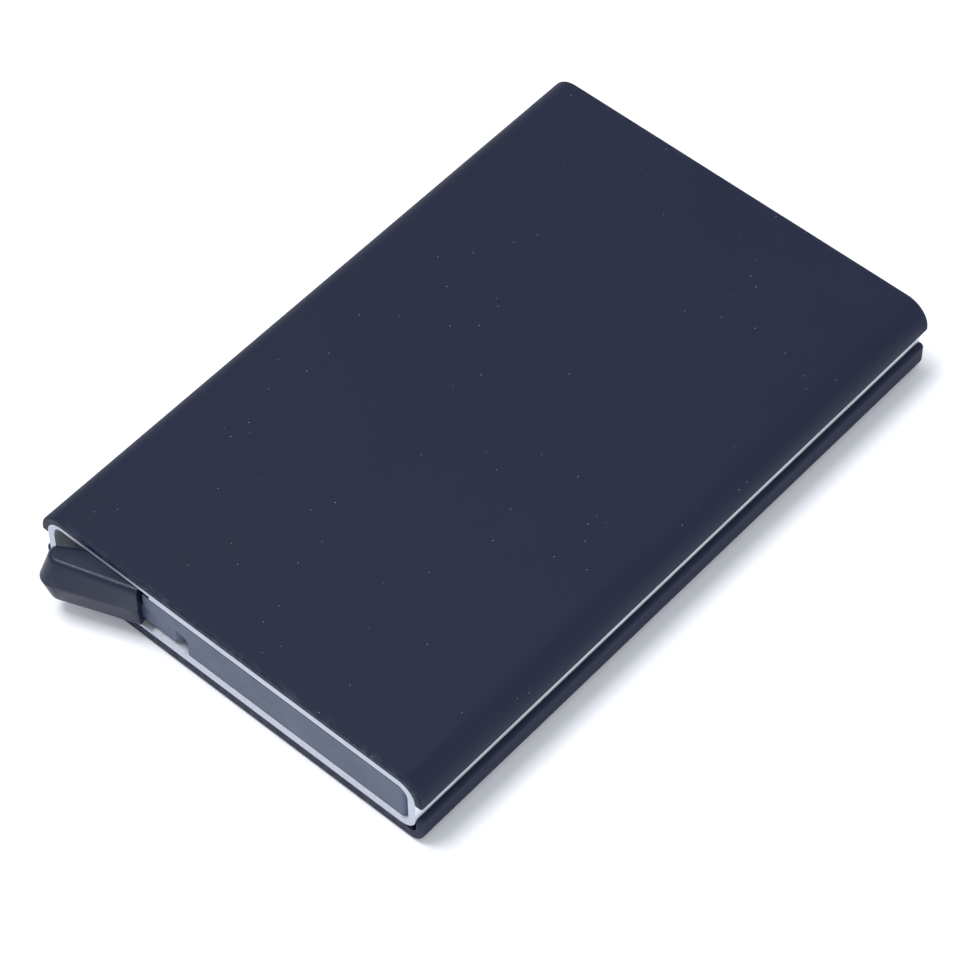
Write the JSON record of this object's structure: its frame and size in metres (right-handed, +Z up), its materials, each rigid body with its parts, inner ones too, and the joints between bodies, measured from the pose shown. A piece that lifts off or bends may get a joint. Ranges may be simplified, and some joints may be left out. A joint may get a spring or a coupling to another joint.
{
  "type": "minimalist wallet",
  "caption": "Flat pop-up card wallet: dark metal covers round an aluminium card sleeve, with a corner lever that pushes the cards out of the open end.",
  "frame": {"origin": "centre of the rest face under the bottom tray", "axes": "+X across the width away from the lever's corner, +Y along the length towards the card mouth, +Z up towards the top cover"},
  "size_m": [0.0638, 0.1033, 0.0119],
  "materials": {
    "bare_aluminium": "satin extrusion with milled ends",
    "dark_coating": "fine matt navy-black coating on aluminium sheet",
    "bond_film": "clear double-sided bonding film",
    "slate_plastic": "moulded slate-grey plastic, fine texture",
    "lever_plastic": "moulded dark plastic, satin",
    "black_plastic": "moulded black plastic",
    "spring_steel": "drawn steel",
    "brake_felt": "pressed felt"
  },
  "bodies": {
    "case": {"inner_tube": "bare_aluminium", "top_cover": "dark_coating", "bottom_tray": "dark_coating", "cover_bond_film": "bond_film", "tray_bond_film": "bond_film", "end_plug": "slate_plastic", "plug_lid": "slate_plastic", "pivot_pin": "spring_steel", "return_spring": "spring_steel", "left_card_rail": "black_plastic", "right_card_rail": "black_plastic", "mouth_liner": "black_plastic", "lower_left_felt": "brake_felt", "lower_right_felt": "brake_felt", "upper_left_felt": "brake_felt", "upper_right_felt": "brake_felt"},
    "lever": {"lever_frame": "slate_plastic", "lever_lower_pad": "lever_plastic", "lever_upper_pad": "lever_plastic", "card_ejector": "black_plastic"}
  },
  "joints": [
    {"name": "lever_pivot", "type": "hinge", "parent": "case", "child": "lever", "pos_m": [-0.003, -0.045, 0.005], "axis": [0, 0, -1], "range_deg": [0, 20], "stiffness_Nm_per_rad": 0.02, "springref_deg": -17.19, "deforming": ["return_spring"]}
  ]
}
